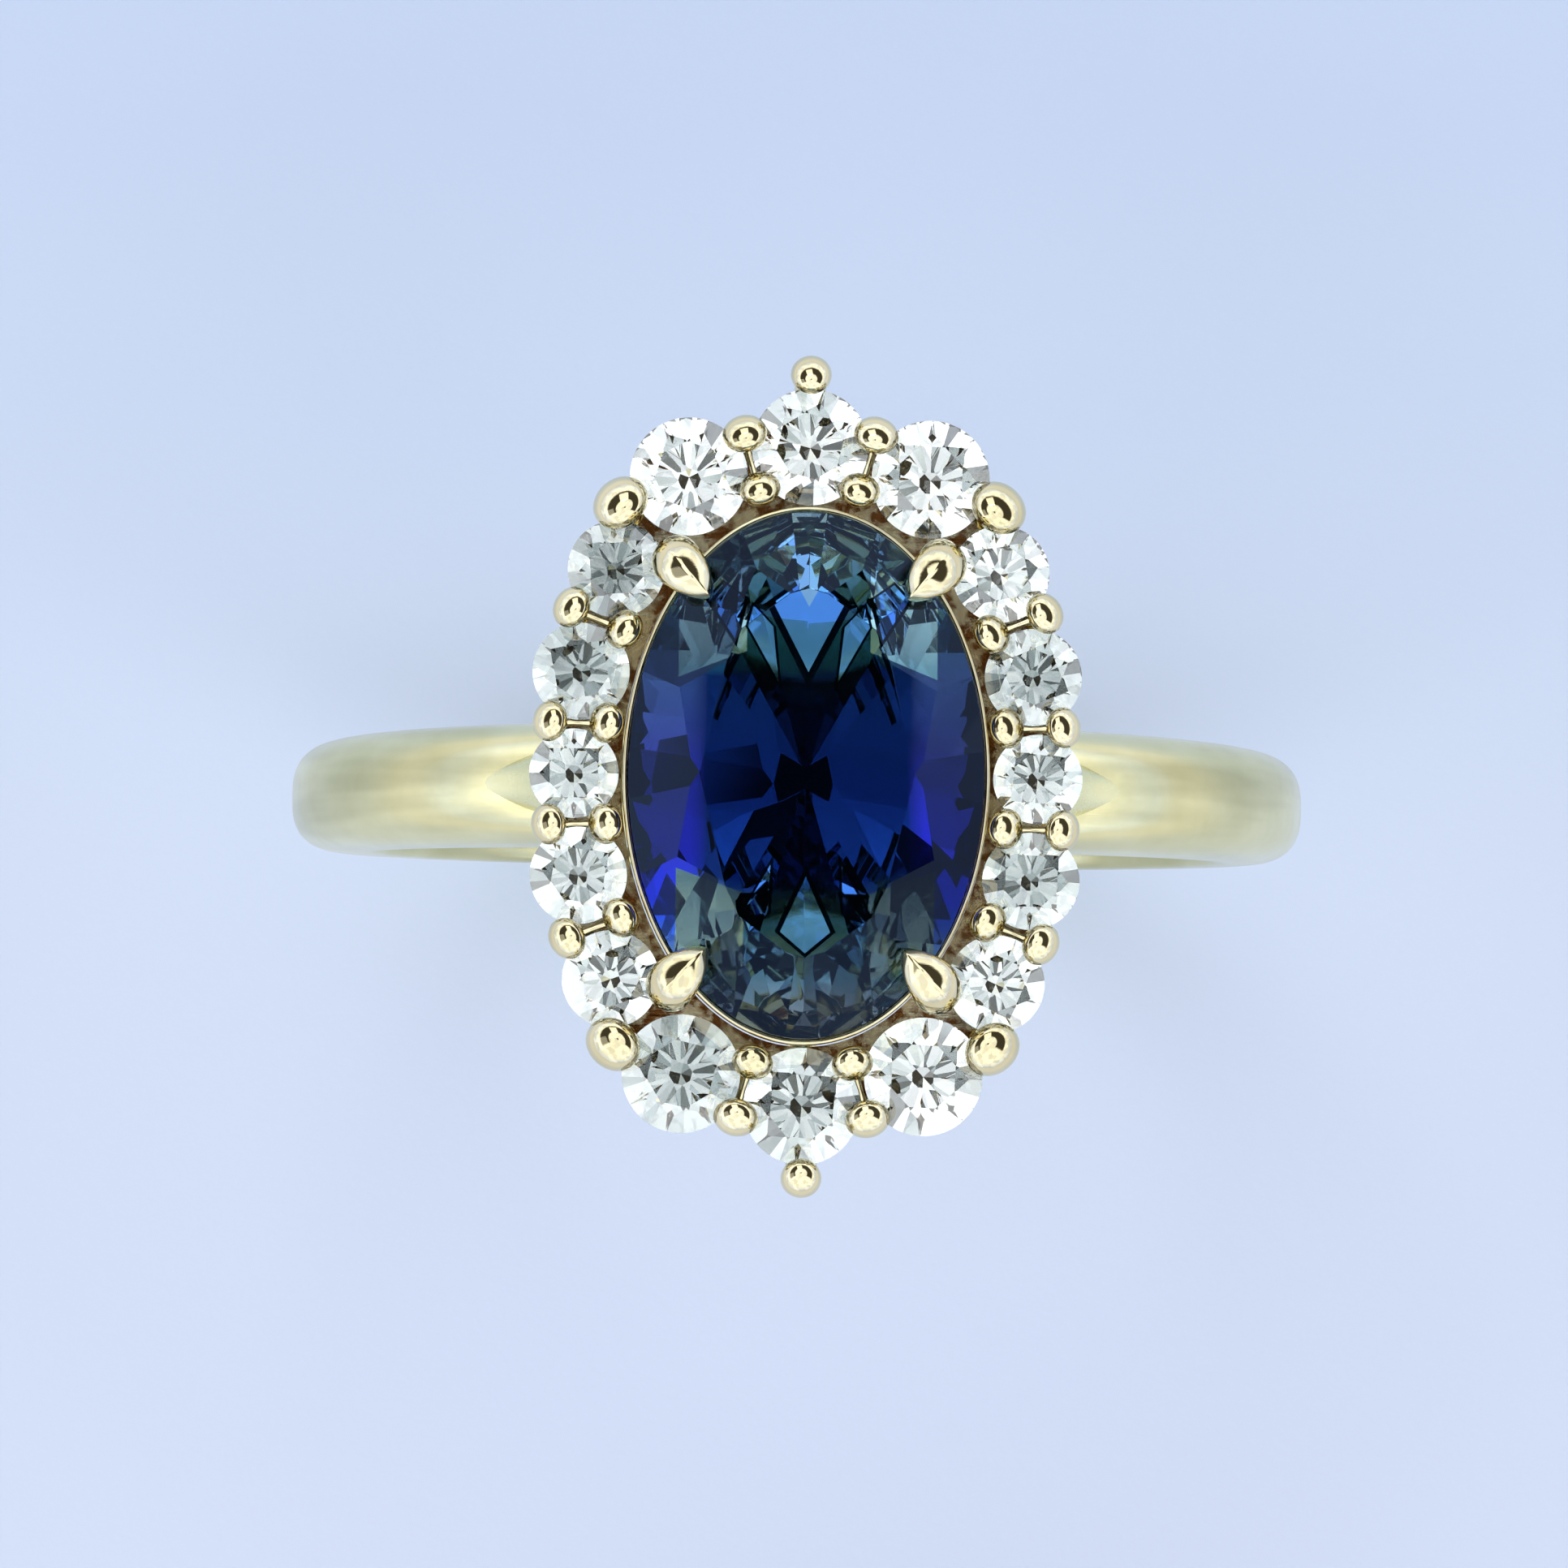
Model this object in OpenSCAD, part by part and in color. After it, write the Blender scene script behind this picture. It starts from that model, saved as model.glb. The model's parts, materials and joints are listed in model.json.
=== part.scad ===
// Halo engagement ring: an oval centre stone in four talon claws, a scalloped halo
// of round brilliants on shared bead prongs, and a plain low-domed band.
// Origin at the centre of the finger hole, finger along Y, head up along Z.

/* [Band] */
// Inside diameter of the finger hole
finger_d = 17.3; // [17.3:0.1:17.3]
// Radial thickness of the band
band_t = 1.7; // [1.6:0.05:1.8]
// Width of the band under the head
band_w_top = 2.5; // [2.3:0.05:2.6]
// Width of the band at its base
band_w_base = 2; // [1.8:0.05:2.2]
// Radius of the band's two rounded outer corners
band_corner = 0.8; // [0.6:0.05:1]

/* [Centre stone] */
// Width of the centre stone
centre_w = 6.75; // [6.7:0.05:6.8]
// Length of the centre stone
centre_l = 10; // [9.9:0.05:10]
// Height of the centre stone's girdle above the finger axis
centre_z = 13.35; // [13.3:0.05:13.5]
// Distance from the girdle in to the table edge
crown_run = 1.35; // [1.25:0.05:1.45]
// Height of the crown
crown_h = 1; // [0.9:0.05:1.1]
// Thickness of the girdle
centre_girdle = 0.18; // [0.12:0.02:0.24]
// Depth of the pavilion
pavilion_h = 2.85; // [2.7:0.05:2.9]

/* [Halo] */
// Height of the halo stones' girdle above the finger axis
halo_z = 13; // [12.95:0.05:13.05]
// Thickness of the halo plate, whose lower face stays where it is
plate_t = 0.6; // [0.5:0.05:0.65]
// Crown height as a share of the diameter
halo_crown = 0.15; // [0.14:0.01:0.16]
// Pavilion depth as a share of the diameter
halo_pavilion = 0.43; // [0.42:0.01:0.44]
// Table width as a share of the diameter
halo_table = 0.58; // [0.55:0.01:0.6]
// Girdle thickness as a share of the diameter
halo_girdle = 0.03; // [0.02:0.005:0.04]
// Diameter of the through holes below the halo stones
azure_d = 0.7; // [0.6:0.05:0.8]

/* [Wires] */
// Wall of the rim at the girdle of the centre stone
rim_wall = 0.1; // [0.08:0.01:0.12]
// Width of the base and gallery rails
rail_w = 0.6; // [0.5:0.05:0.7]
// Height of the base and gallery rails
rail_h = 0.7; // [0.6:0.05:0.7]
// Diameter of the end struts
strut_d = 0.8; // [0.7:0.05:0.9]
// Width of the cathedral shoulders
shoulder_w = 1.8; // [1.5:0.1:1.9]

/* [Hidden] */
finger_r = finger_d / 2;
band_r = finger_r + band_t;
centre_a = centre_w / 2;
centre_b = centre_l / 2;
halo_n = 2.4;
halo_a = 4.41;
halo_b = 6.27;
rail_z = 10.2;
gallery_z = 11.5;
halo_rail_z = 11.15;
halo_rail_h = 0.6;
rim_z = 12.5;
ledge_z = centre_z - 0.45;
ledge_w = 0.2;
claw_turn = 49; // degrees, where the claws part the rim
plate_z = halo_z - 0.9;
bead_z = halo_z + 0.24;
eps = 0.02;

// One quarter of the halo: [x, y, diameter] of each round stone
E_STONE = [4.41, 0, 1.7];
SIDE_STONE = [4.3, 1.94, 1.85];
SHOULDER_STONE = [3.66, 3.9, 1.85];
CORNER_STONE = [2.3, 5.68, 2.25];
N_STONE = [0, 6.27, 2.22];
// One quarter of the beads: [x, y, bead diameter]
TIP_BEAD = [0, 7.64, 0.76];
CORNER_BEAD = [3.6, 5.15, 0.96];
OUTER_BEADS = [[1.25, 6.5, 0.74], [4.5, 3.15, 0.7], [4.88, 0.98, 0.68]];
INNER_BEADS = [[0.95, 5.45, 0.68], [3.49, 2.74, 0.68], [3.8, 0.96, 0.68]];
// The claw of the north-east quarter: [x, y, z, radius] from its foot to its tip
CLAW = [[1.34, 2.12, 10.9, 0.34], [1.62, 2.62, 11.4, 0.34], [2, 3.35, 12.15, 0.34], [2.32, 3.98, 12.95, 0.33],
        [2.46, 4.14, 13.35, 0.38], [2.52, 4.12, 13.68, 0.48], [2.38, 3.97, 13.98, 0.5],
        [2.18, 3.76, 14.12, 0.42], [2, 3.55, 14.13, 0.26], [1.8, 3.34, 14.06, 0.05]];

// Each entry is [sign x, sign y] of a quarter
QUARTERS = [[1, 1], [1, -1], [-1, -1], [-1, 1]];
// The sixteen stones, clockwise from the north point
STONES = [
    N_STONE, place(CORNER_STONE, 0), place(SHOULDER_STONE, 0), place(SIDE_STONE, 0),
    E_STONE, place(SIDE_STONE, 1), place(SHOULDER_STONE, 1), place(CORNER_STONE, 1),
    place(N_STONE, 1), place(CORNER_STONE, 2), place(SHOULDER_STONE, 2), place(SIDE_STONE, 2),
    place(E_STONE, 2), place(SIDE_STONE, 3), place(SHOULDER_STONE, 3), place(CORNER_STONE, 3)
];

function place(p, q) = [p[0] * QUARTERS[q][0], p[1] * QUARTERS[q][1], p[2]];
function quartered(list) = [for (q = [0:3]) for (p = list) place(p, q)];
function spow(v, e) = sign(v) * pow(abs(v), e);
// Points of a superellipse: n = 2 is an ellipse, a larger n is fuller
function oval(a, b, n = 2, count = 96) =
    [for (i = [0:count - 1]) [a * spow(cos(i * 360 / count), 2 / n), b * spow(sin(i * 360 / count), 2 / n)]];
// Outline of a strip beside the girdle of the centre stone, from one angle to another and
// between two distances out from the girdle
function stone_point(out, turn) = [(centre_a + out) * cos(turn), (centre_b + out) * sin(turn)];
function stone_strip(inner, outer, from, to, steps = 24) = concat(
    [for (i = [0:steps]) stone_point(outer, between(from, to, i / steps))],
    [for (i = [steps:-1:0]) stone_point(inner, between(from, to, i / steps))]);
function ring3(a, b, z, count, turn = 0) =
    [for (i = [0:count - 1]) [a * cos((i + turn) * 360 / count), b * sin((i + turn) * 360 / count), z]];
function unit(v) = v / norm(v);
function xyz(p) = [p[0], p[1], p[2]];
function between(a, b, t) = a + (b - a) * t;
function curve(a, c, b, t) = between(between(a, c, t), between(c, b, t), t);
// The point in line with p that lies on a superellipse
function on_oval(p, a, b, n) = [p[0], p[1]] * pow(pow(abs(p[0]) / a, n) + pow(abs(p[1]) / b, n), -1 / n);
function tangent(path, i) = unit(xyz(path[min(i + 1, len(path) - 1)]) - xyz(path[max(i - 1, 0)]));

// Round rod from point p to point q
module rod(p, q, d) {
    v = q - p;
    translate(p) rotate([0, acos(v[2] / norm(v)), atan2(v[1], v[0])]) cylinder(d = d, h = norm(v), $fn = 32);
}

// Convex solid through a set of points
module convex(points) {
    hull() polyhedron(points = points, faces = [for (i = [0:len(points) - 3]) [i, i + 1, i + 2]]);
}

// Brilliant-cut stone: semi-axes a and b at the girdle, ta and tb at the table
module brilliant(a, b, ta, tb, crown, girdle, pavilion, count) {
    sa = (a + ta) / 2 + 0.02 * a;
    sb = (b + tb) / 2 + 0.02 * b;
    convex(concat(
        ring3(ta, tb, girdle + crown, 8),
        ring3(sa, sb, girdle + crown * 0.5, 8, 0.5),
        ring3(a, b, girdle, count),
        ring3(a, b, 0, count),
        [[0, (b - a) / 2, -pavilion], [0, (a - b) / 2, -pavilion]]
    ));
}

// Round bar through a path of [x, y, z, radius]; the path may taper and bend in its own plane
module bar(path, side, sides = 12) {
    rings = [for (i = [0:len(path) - 1]) for (k = [0:sides - 1])
        xyz(path[i]) + path[i][3] * (cos(k * 360 / sides) * side
        + sin(k * 360 / sides) * cross(tangent(path, i), side))];
    last = (len(path) - 1) * sides;
    walls = [for (i = [0:len(path) - 2]) for (k = [0:sides - 1])
        [i * sides + k, (i + 1) * sides + k, (i + 1) * sides + (k + 1) % sides, i * sides + (k + 1) % sides]];
    ends = [[for (k = [0:sides - 1]) k], [for (k = [sides - 1:-1:0]) last + k]];
    polyhedron(points = rings, faces = concat(walls, ends), convexity = 4);
}

// Solid that clears a halo stone: the stone's own revolved outline with a little room
module stone_room(s) {
    r = s[2] / 2 + eps;
    translate([s[0], s[1], halo_z]) rotate_extrude($fn = 48)
        polygon([[0, -halo_pavilion * s[2] - eps], [r, -eps], [r, halo_girdle * s[2] + eps],
            [halo_table * r, (halo_girdle + halo_crown) * s[2] + 2 * eps],
            [0, (halo_girdle + halo_crown) * s[2] + 2 * eps]]);
}

module halo_stone(i) {
    s = STONES[i - 1];
    r = s[2] / 2;
    color("aliceblue") translate([s[0], s[1], halo_z])
        brilliant(r, r, r * halo_table, r * halo_table, s[2] * halo_crown, s[2] * halo_girdle,
            s[2] * halo_pavilion, 16);
}

module centre_stone() {
    color("midnightblue") translate([0, 0, centre_z])
        brilliant(centre_a, centre_b, centre_a - crown_run, centre_b - crown_run, crown_h,
            centre_girdle, pavilion_h, 32);
}

module band_profile() {
    flat = band_w_top / 2 - band_corner;
    difference() {
        union() {
            translate([band_r - band_corner, flat]) circle(r = band_corner, $fn = 64);
            translate([band_r - band_corner, -flat]) circle(r = band_corner, $fn = 64);
            translate([finger_r - 1, -band_w_top / 2]) square([band_t - band_corner + 1, band_w_top]);
            translate([finger_r - 1, -flat]) square([band_t + 1, 2 * flat]);
        }
        translate([finger_r - 2, -band_w_top]) square([2, 2 * band_w_top]);
    }
}

module band_body() {
    reach = band_r + 1;
    intersection() {
        rotate([90, 0, 0]) rotate_extrude($fn = 180) band_profile();
        rotate([90, 0, 90]) translate([0, 0, -reach]) linear_extrude(2 * reach)
            polygon([[-band_w_base / 2, -reach], [band_w_base / 2, -reach],
                [band_w_top / 2, reach], [-band_w_top / 2, reach]]);
    }
}

module shank() {
    color("palegoldenrod") band_body();
}

// Cathedral shoulder on the +X side: an arched arm from the band up to the halo rail
module shoulder() {
    foot = [6.9, sqrt(pow(band_r, 2) - pow(6.9, 2))];
    outer = [for (t = [0:0.1:1]) curve(foot, foot + [-1.35, 1.2], [halo_a + 0.2, halo_rail_z], t)];
    inner = [for (t = [0:0.1:1]) curve([halo_a - 0.4, halo_rail_z], [4.3, 10.1], [5, 8.8], t)];
    difference() {
        rotate([90, 0, 0]) linear_extrude(shoulder_w, center = true) polygon(concat(outer, inner));
        band_body();
    }
}

module shoulder_left() {
    color("palegoldenrod") mirror([1, 0, 0]) shoulder();
}

module shoulder_right() {
    color("palegoldenrod") shoulder();
}

// Flat wire bent into a closed oval; a and b are the centreline's semi-axes
module rail(a, b, n, w, z, h) {
    translate([0, 0, z]) linear_extrude(h) difference() {
        polygon(oval(a + w / 2, b + w / 2, n));
        polygon(oval(a - w / 2, b - w / 2, n));
    }
}

module base_rail() {
    color("palegoldenrod") difference() {
        rail(1.9, 3, 2, rail_w, rail_z, rail_h);
        band_body();
    }
}

module gallery_rail() {
    color("palegoldenrod") difference() {
        rail(2.45, 3.75, 2, rail_w, gallery_z, rail_h);
        claw_room();
    }
}

module halo_rail() {
    color("palegoldenrod") rail(halo_a - 0.1, halo_b - 0.1, halo_n, 0.7, halo_rail_z, halo_rail_h);
}

module strut(direction) {
    color("palegoldenrod") difference() {
        rod([0, direction * 3.1, rail_z + 0.35], [0, direction * (halo_b - 0.2), halo_rail_z + 0.2], strut_d);
        rail(1.9, 3, 2, rail_w, rail_z, rail_h);
        rail(halo_a - 0.1, halo_b - 0.1, halo_n, 0.7, halo_rail_z, halo_rail_h);
        translate([0, direction * (halo_b + 0.6), halo_rail_z]) cube([2, 1.1, 2], center = true);
    }
}

module strut_north() {
    strut(1);
}

module strut_south() {
    strut(-1);
}

module claw(q) {
    sx = QUARTERS[q][0];
    sy = QUARTERS[q][1];
    color("palegoldenrod") mirror([sx < 0 ? 1 : 0, 0, 0]) mirror([0, sy < 0 ? 1 : 0, 0])
        bar(CLAW, unit([1.19, -0.92, 0]));
}

module claw_ne() {
    claw(0);
}

module claw_se() {
    claw(1);
}

module claw_sw() {
    claw(2);
}

module claw_nw() {
    claw(3);
}

// Slanted holes that let the four claws through the wires round the centre stone
module claw_room() {
    for (q = QUARTERS)
        rod([q[0] * CLAW[1][0], q[1] * CLAW[1][1], CLAW[1][2] - 0.3],
            [q[0] * 2.54, q[1] * 4.27, 13.6], 0.78);
}

// Stretch of the thin rim round the girdle of the centre stone, between two claws, with
// the ledge that the stone rests on
module rim(from, to) {
    color("palegoldenrod") difference() {
        translate([0, 0, rim_z]) linear_extrude(centre_z + centre_girdle / 2 - rim_z)
            polygon(stone_strip(-ledge_w, eps + rim_wall, from, to));
        translate([0, 0, ledge_z]) linear_extrude(2)
            polygon(stone_strip(-2 * ledge_w, eps, from - 4, to + 4));
        claw_room();
    }
}

module rim_north() {
    rim(claw_turn, 180 - claw_turn);
}

module rim_south() {
    rim(180 + claw_turn, 360 - claw_turn);
}

module rim_east() {
    rim(-claw_turn, claw_turn);
}

module rim_west() {
    rim(180 - claw_turn, 180 + claw_turn);
}

// Post of a bead prong: it stands on the halo rail and leans out to its bead
module prong_post(p, side) {
    foot = on_oval(p, halo_a - 0.1 + side * 0.3, halo_b - 0.1 + side * 0.3, halo_n);
    rod([foot[0], foot[1], halo_rail_z + halo_rail_h], [p[0], p[1], bead_z], p[2] * 0.8);
}

module prongs(list, side) {
    color("palegoldenrod") difference() {
        for (p = list) union() {
            prong_post(p, side);
            translate([p[0], p[1], bead_z]) sphere(d = p[2], $fn = 32);
        }
        for (s = STONES) stone_room(s);
        translate([0, 0, halo_rail_z]) linear_extrude(halo_rail_h) square(20, center = true);
    }
}

module tip_prongs() {
    prongs([TIP_BEAD, place(TIP_BEAD, 2)], 1);
}

module corner_prongs() {
    prongs(quartered([CORNER_BEAD]), 1);
}

module outer_prongs() {
    prongs(quartered(OUTER_BEADS), 1);
}

module inner_prongs() {
    prongs(quartered(INNER_BEADS), -1);
}

module halo_plate() {
    color("palegoldenrod") difference() {
        translate([0, 0, plate_z]) linear_extrude(plate_t) difference() {
            union() {
                polygon(oval(halo_a + 0.45, halo_b + 0.3, halo_n));
                for (s = STONES) translate([s[0], s[1]]) circle(d = s[2] - 0.2, $fn = 48);
            }
            polygon(oval(centre_a + 2 * eps + rim_wall, centre_b + 2 * eps + rim_wall));
        }
        for (s = STONES) stone_room(s);
        for (s = STONES) translate([s[0], s[1], plate_z - 1]) cylinder(d = azure_d, h = 2, $fn = 32);
        for (p = concat([TIP_BEAD, place(TIP_BEAD, 2)], quartered([CORNER_BEAD]), quartered(OUTER_BEADS)))
            prong_post(p, 1);
        for (p = quartered(INNER_BEADS)) prong_post(p, -1);
        claw_room();
    }
}

shank();
shoulder_left();
shoulder_right();
base_rail();
gallery_rail();
halo_rail();
strut_north();
strut_south();
claw_ne();
claw_se();
claw_sw();
claw_nw();
rim_north();
rim_south();
rim_east();
rim_west();
halo_plate();
tip_prongs();
corner_prongs();
outer_prongs();
inner_prongs();
centre_stone();
halo_stone(1);  // halo_stone_01
halo_stone(2);  // halo_stone_02
halo_stone(3);  // halo_stone_03
halo_stone(4);  // halo_stone_04
halo_stone(5);  // halo_stone_05
halo_stone(6);  // halo_stone_06
halo_stone(7);  // halo_stone_07
halo_stone(8);  // halo_stone_08
halo_stone(9);  // halo_stone_09
halo_stone(10);  // halo_stone_10
halo_stone(11);  // halo_stone_11
halo_stone(12);  // halo_stone_12
halo_stone(13);  // halo_stone_13
halo_stone(14);  // halo_stone_14
halo_stone(15);  // halo_stone_15
halo_stone(16);  // halo_stone_16
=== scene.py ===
import json
import math
import random

import bmesh
import bpy
from mathutils import Matrix, Vector


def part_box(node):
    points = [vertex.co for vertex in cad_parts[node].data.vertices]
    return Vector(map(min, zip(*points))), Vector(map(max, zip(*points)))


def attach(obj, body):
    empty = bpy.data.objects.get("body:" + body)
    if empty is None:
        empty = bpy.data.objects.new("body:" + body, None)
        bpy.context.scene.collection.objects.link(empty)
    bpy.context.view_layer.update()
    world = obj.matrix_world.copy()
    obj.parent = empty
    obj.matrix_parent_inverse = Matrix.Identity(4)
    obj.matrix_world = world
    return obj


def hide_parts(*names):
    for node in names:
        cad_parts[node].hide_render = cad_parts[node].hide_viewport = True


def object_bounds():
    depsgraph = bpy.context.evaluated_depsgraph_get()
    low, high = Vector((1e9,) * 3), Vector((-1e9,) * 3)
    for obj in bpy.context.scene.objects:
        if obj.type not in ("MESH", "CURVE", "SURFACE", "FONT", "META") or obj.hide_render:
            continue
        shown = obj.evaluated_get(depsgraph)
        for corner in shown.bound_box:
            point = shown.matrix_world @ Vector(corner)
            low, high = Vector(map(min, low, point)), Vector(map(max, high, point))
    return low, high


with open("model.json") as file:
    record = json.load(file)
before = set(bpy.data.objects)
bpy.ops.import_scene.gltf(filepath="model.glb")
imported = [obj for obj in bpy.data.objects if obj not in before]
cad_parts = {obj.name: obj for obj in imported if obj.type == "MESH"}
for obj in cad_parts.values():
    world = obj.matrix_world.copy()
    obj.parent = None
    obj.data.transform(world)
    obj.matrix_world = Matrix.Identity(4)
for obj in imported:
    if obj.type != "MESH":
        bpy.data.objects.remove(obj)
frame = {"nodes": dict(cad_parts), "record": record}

# Halo engagement ring. Metres, finger along Y, head up along Z, origin at the
# centre of the finger hole.
MM = 0.001
cad_low, cad_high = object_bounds()
scene = bpy.context.scene
rng = random.Random(7)


# ---------------------------------------------------------------- frame values

def mount(name):
    return next(m for m in frame["record"]["mounts"] if m["name"] == name)


def size(node):
    low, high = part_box(node)
    return high - low


def middle(node):
    low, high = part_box(node)
    return (low + high) / 2


HALO_STONES = ["halo_stone_%02d" % i for i in range(1, 17)]
CLAWS = {"claw_ne": (1, 1), "claw_nw": (-1, 1), "claw_se": (1, -1), "claw_sw": (-1, -1)}
PAVILION = 0.43             # depth of a round stone's pavilion as a share of its width
FINGER_R = mount("finger_hole")["dims"]["r_mm"] * MM
BAND_R = -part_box("shank")[0].z
BAND_SIDE = 0.42 * MM       # height of the band's upright sides above the bore
HALO_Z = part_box(HALO_STONES[0])[0].z + PAVILION * size(HALO_STONES[0]).x
BEAD_Z = HALO_Z + 0.24 * MM
UP = Vector((0, 0, 1))
BLACK = (0, 0, 0, 1)
WHITE = (1, 1, 1, 1)


# ------------------------------------------------------------------- materials

def srgb(r, g, b):
    """Linear colour of an 8-bit display colour."""
    return tuple(((c / 255 + 0.055) / 1.055) ** 2.4 if c > 10 else c / 3294.6 for c in (r, g, b)) + (1.0,)


def stain(r, g, b):
    """Base colour that gives light this display colour on its one way in."""
    return tuple(c ** 2 for c in srgb(r, g, b)[:3]) + (1.0,)


class Nodes:
    """A short way to add and join shader nodes."""

    def __init__(self, tree):
        self.tree = tree

    def add(self, kind, **settings):
        node = self.tree.nodes.new(kind)
        for key, value in settings.items():
            if hasattr(node, key):
                setattr(node, key, value)
            else:
                node.inputs[key.replace("_", " ")].default_value = value
        return node

    def join(self, source, target):
        self.tree.links.new(source, target)

    def feed(self, socket, value):
        """Joins an output to a socket, or sets the socket to a plain value."""
        if hasattr(value, "is_output"):
            self.join(value, socket)
        else:
            socket.default_value = value

    def place(self):
        return self.add("ShaderNodeTexCoord").outputs["Object"]

    def split(self, vector):
        node = self.tree.nodes.new("ShaderNodeSeparateXYZ")
        self.join(vector, node.inputs[0])
        return node.outputs

    def math(self, operation, *values):
        node = self.tree.nodes.new("ShaderNodeMath")
        node.operation = operation
        for socket, value in zip(node.inputs, values):
            self.feed(socket, value)
        return node.outputs[0]

    def mix(self, factor, one, two, kind="MIX"):
        node = self.add("ShaderNodeMix", data_type="RGBA", blend_type=kind)
        self.feed(node.inputs["Factor"], factor)
        self.feed(node.inputs[6], one)
        self.feed(node.inputs[7], two)
        return node.outputs[2]

    def noise(self, vector, scale, detail, roughness=0.5):
        node = self.add("ShaderNodeTexNoise", Scale=scale, Detail=detail, Roughness=roughness)
        self.join(vector, node.inputs["Vector"])
        return node.outputs["Fac"]

    def painted_facet_light(self, scale):
        """Noise over the direction that a facet faces, so that each facet gets its own level of painted
        light and shade.
        """
        return self.noise(self.add("ShaderNodeNewGeometry").outputs["True Normal"], scale, 0.0)

    def stretch(self, vector, *factors):
        node = self.add("ShaderNodeMapping")
        node.inputs["Scale"].default_value = factors
        self.join(vector, node.inputs["Vector"])
        return node.outputs["Vector"]

    def step(self, value, low, high):
        """Smooth step from 0 at low to 1 at high."""
        node = self.add("ShaderNodeMapRange", interpolation_type="SMOOTHSTEP")
        self.join(value, node.inputs["Value"])
        node.inputs["From Min"].default_value = low
        node.inputs["From Max"].default_value = high
        return node.outputs["Result"]

    def bump(self, shader, height, strength, distance):
        node = self.add("ShaderNodeBump", Strength=strength, Distance=distance)
        self.join(height, node.inputs["Height"])
        self.join(node.outputs["Normal"], shader.inputs["Normal"])

    def ramp(self, source, *stops):
        node = self.tree.nodes.new("ShaderNodeValToRGB")
        elements = node.color_ramp.elements
        while len(elements) < len(stops):
            elements.new(0.5)
        for element, (place, colour) in zip(elements, stops):
            element.position = place
            element.color = colour
        self.join(source, node.inputs[0])
        return node.outputs[0]


def new_material(name):
    material = bpy.data.materials.new(name)
    material.use_nodes = True
    nodes = Nodes(material.node_tree)
    return material, nodes, material.node_tree.nodes["Principled BSDF"]


def gold_material(name, dark, light, polish, grain, depth=0.02 * MM, patches=900.0, spread=0.2, reflection_streak_level=0.97):
    """Pale 14 carat gold: mottling between two colours, darker streaks round the piece that are painted
    reflections, uneven polish, hairline scratches.
    """
    material, n, shader = new_material(name)
    place = n.place()
    mottle = n.noise(place, patches, 4.0, 0.6)
    colour = n.ramp(mottle, (0.5 - spread, dark), (0.5 + spread, light))
    # Painted reflections: darker streaks stretched round the piece, multiplied into the colour.
    painted_reflection_streaks = n.noise(n.stretch(place, 130, 1500, 130), 1.0, 2.0)
    painted_streak_factor = n.ramp(painted_reflection_streaks, (0.35, (reflection_streak_level, reflection_streak_level, reflection_streak_level * 0.96, 1)), (0.6, WHITE))
    n.join(n.mix(1.0, colour, painted_streak_factor, "MULTIPLY"), shader.inputs["Base Color"])
    rough = n.add("ShaderNodeMapRange")
    n.join(n.noise(place, 2600.0, 3.0), rough.inputs["Value"])
    rough.inputs["To Min"].default_value = polish * 0.6
    rough.inputs["To Max"].default_value = polish * 1.5
    n.join(rough.outputs["Result"], shader.inputs["Roughness"])
    hairlines = n.noise(n.stretch(place, 1500, 14000, 1500), 1.0, 5.0, 0.7)
    n.bump(shader, hairlines, grain, depth)
    shader.inputs["Metallic"].default_value = 1.0
    return material


def diamond_material():
    """Colourless stone with painted reflections and shade: its facets differ in painted brightness, from
    near black to near white.
    """
    material, n, shader = new_material("diamond")
    # Painted light and shade: one level per facet, stirred a little by a noise cloud, sets colours from near
    # black to near white.
    painted_light_cloud = n.noise(n.place(), 300.0, 2.0)
    painted_light_tone = n.math("MULTIPLY_ADD", painted_light_cloud, 0.25, n.painted_facet_light(14.0))
    colour = n.ramp(painted_light_tone, (0.48, (0.03, 0.036, 0.036, 1)), (0.54, (0.3, 0.37, 0.37, 1)),
                    (0.61, (0.72, 0.8, 0.79, 1)), (0.66, (0.94, 0.98, 0.97, 1)))
    n.join(colour, shader.inputs["Base Color"])
    shader.inputs["Transmission Weight"].default_value = 1.0
    shader.inputs["Roughness"].default_value = 0.0
    shader.inputs["IOR"].default_value = 2.42
    return material


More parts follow.
